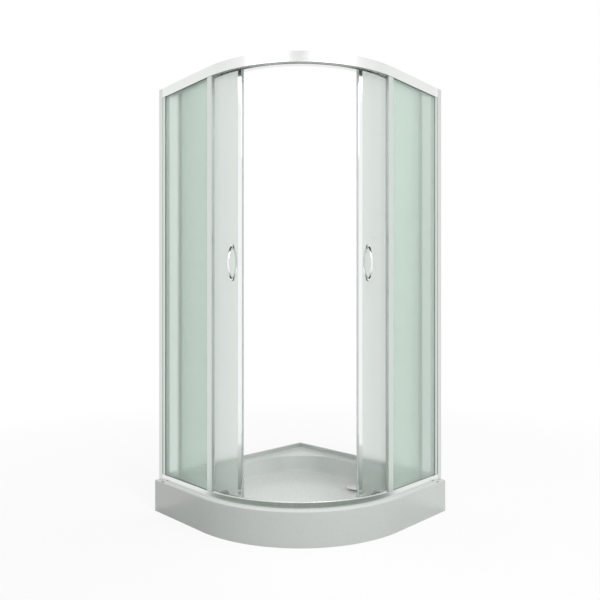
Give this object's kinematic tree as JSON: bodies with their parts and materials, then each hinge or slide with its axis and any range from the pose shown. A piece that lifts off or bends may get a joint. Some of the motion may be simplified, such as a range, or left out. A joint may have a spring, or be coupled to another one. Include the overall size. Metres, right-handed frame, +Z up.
{
  "type": "quadrant shower enclosure",
  "caption": "Quadrant shower enclosure: low white tray, satin aluminium frame, frosted green panes and curved sliding doors on rollers.",
  "frame": {"origin": "on the floor under the middle of the square round the tray", "axes": "+Z up; the walls stand at -X and +Y and the curved front faces +X and -Y"},
  "size_m": [0.9, 0.9, 1.85],
  "materials": {
    "white_acrylic": "gloss",
    "board": "raw particle board",
    "zinc_steel": "zinc plated",
    "black_plastic": "matte",
    "white_plastic": "matte",
    "chrome": "polished",
    "rubber": "matte",
    "grey_plastic": "matte",
    "satin_aluminium": "satin anodised",
    "clear_vinyl": "translucent vinyl",
    "frosted_glass": "satin, pale green",
    "steel_pin": "plain",
    "white_nylon": "matte"
  },
  "bodies": {
    "frame": {"tray_shell": "white_acrylic", "tray_board": "board", "tray_frame": "zinc_steel", "foot_studs": "zinc_steel", "foot_nuts": "zinc_steel", "rail_screws": "zinc_steel", "adjust_screws": "zinc_steel", "foot_pads": "black_plastic", "trap_body": "white_plastic", "outlet_nut": "white_plastic", "waste_flange": "chrome", "waste_gaskets": "rubber", "rim_plugs": "grey_plastic", "rail_end_blocks": "grey_plastic", "profile_caps": "grey_plastic", "top_rail": "satin_aluminium", "bottom_rail": "satin_aluminium", "rail_fillers": "clear_vinyl", "wall_profile_right": "satin_aluminium", "wall_profile_left": "satin_aluminium", "post_right": "satin_aluminium", "post_left": "satin_aluminium", "edge_profile_right": "satin_aluminium", "edge_profile_left": "satin_aluminium", "glass_gasket_right": "clear_vinyl", "glass_gasket_left": "clear_vinyl", "edge_seal_right": "clear_vinyl", "edge_seal_left": "clear_vinyl", "fixed_glass_right": "frosted_glass", "fixed_glass_left": "frosted_glass"},
    "door_right": {"door_glass_right": "frosted_glass", "leading_profile_right": "chrome", "magnetic_seal_right": "clear_vinyl", "trailing_profile_right": "satin_aluminium", "handle_outer_right": "chrome", "handle_inner_right": "chrome", "handle_fixings_right": "steel_pin", "roller_hubs_right": "grey_plastic", "roller_screws_right": "chrome"},
    "wheel_top_front_right": {"wheel_top_front_right": "white_nylon"},
    "wheel_top_rear_right": {"wheel_top_rear_right": "white_nylon"},
    "wheel_bottom_front_right": {"wheel_bottom_front_right": "white_nylon"},
    "wheel_bottom_rear_right": {"wheel_bottom_rear_right": "white_nylon"},
    "door_left": {"door_glass_left": "frosted_glass", "leading_profile_left": "chrome", "magnetic_seal_left": "clear_vinyl", "trailing_profile_left": "satin_aluminium", "handle_outer_left": "chrome", "handle_inner_left": "chrome", "handle_fixings_left": "steel_pin", "roller_hubs_left": "grey_plastic", "roller_screws_left": "chrome"},
    "wheel_top_front_left": {"wheel_top_front_left": "white_nylon"},
    "wheel_top_rear_left": {"wheel_top_rear_left": "white_nylon"},
    "wheel_bottom_front_left": {"wheel_bottom_front_left": "white_nylon"},
    "wheel_bottom_rear_left": {"wheel_bottom_rear_left": "white_nylon"},
    "waste_cover": {"waste_cover": "chrome"}
  },
  "joints": [
    {"name": "door_right_slide", "type": "hinge", "parent": "frame", "child": "door_right", "pos_m": [-0.41581, 0.20089, 0.9], "axis": [0, 0, -1], "range_deg": [0, 16.53]},
    {"name": "wheel_top_front_right_spin", "type": "hinge", "parent": "door_right", "child": "wheel_top_front_right", "pos_m": [0.36345, 0.05129, 1.8363], "axis": [0.9612, -0.2758, 0], "range_deg": [0, 1210]},
    {"name": "wheel_top_rear_right_spin", "type": "hinge", "parent": "door_right", "child": "wheel_top_rear_right", "pos_m": [0.362, 0.31329, 1.8363], "axis": [0.9581, 0.2864, 0], "range_deg": [0, 1210]},
    {"name": "wheel_bottom_front_right_spin", "type": "hinge", "parent": "door_right", "child": "wheel_bottom_front_right", "pos_m": [0.36345, 0.05129, 0.1489], "axis": [0.9612, -0.2758, 0], "range_deg": [0, 1210]},
    {"name": "wheel_bottom_rear_right_spin", "type": "hinge", "parent": "door_right", "child": "wheel_bottom_rear_right", "pos_m": [0.362, 0.31329, 0.1489], "axis": [0.9581, 0.2864, 0], "range_deg": [0, 1210]},
    {"name": "door_left_slide", "type": "hinge", "parent": "frame", "child": "door_left", "pos_m": [-0.20089, 0.41581, 0.9], "axis": [0, 0, 1], "range_deg": [0, 16.53]},
    {"name": "wheel_top_front_left_spin", "type": "hinge", "parent": "door_left", "child": "wheel_top_front_left", "pos_m": [-0.05129, -0.36345, 1.8363], "axis": [-0.2758, 0.9612, 0], "range_deg": [0, 1210]},
    {"name": "wheel_top_rear_left_spin", "type": "hinge", "parent": "door_left", "child": "wheel_top_rear_left", "pos_m": [-0.31329, -0.362, 1.8363], "axis": [0.2864, 0.9581, 0], "range_deg": [0, 1210]},
    {"name": "wheel_bottom_front_left_spin", "type": "hinge", "parent": "door_left", "child": "wheel_bottom_front_left", "pos_m": [-0.05129, -0.36345, 0.1489], "axis": [-0.2758, 0.9612, 0], "range_deg": [0, 1210]},
    {"name": "wheel_bottom_rear_left_spin", "type": "hinge", "parent": "door_left", "child": "wheel_bottom_rear_left", "pos_m": [-0.31329, -0.362, 0.1489], "axis": [0.2864, 0.9581, 0], "range_deg": [0, 1210]},
    {"name": "waste_cover_lift", "type": "slide", "parent": "frame", "child": "waste_cover", "axis": [0, 0, 1], "range_m": [0, 0.03]}
  ],
  "couplings": [
    {"joint": "wheel_top_front_right_spin", "follows": "door_right_slide", "ratio": 72.135},
    {"joint": "wheel_top_rear_right_spin", "follows": "door_right_slide", "ratio": 71.444},
    {"joint": "wheel_bottom_front_right_spin", "follows": "door_right_slide", "ratio": 66.124},
    {"joint": "wheel_bottom_rear_right_spin", "follows": "door_right_slide", "ratio": 65.491},
    {"joint": "wheel_top_front_left_spin", "follows": "door_left_slide", "ratio": 72.135},
    {"joint": "wheel_top_rear_left_spin", "follows": "door_left_slide", "ratio": 71.444},
    {"joint": "wheel_bottom_front_left_spin", "follows": "door_left_slide", "ratio": 66.124},
    {"joint": "wheel_bottom_rear_left_spin", "follows": "door_left_slide", "ratio": 65.491}
  ]
}
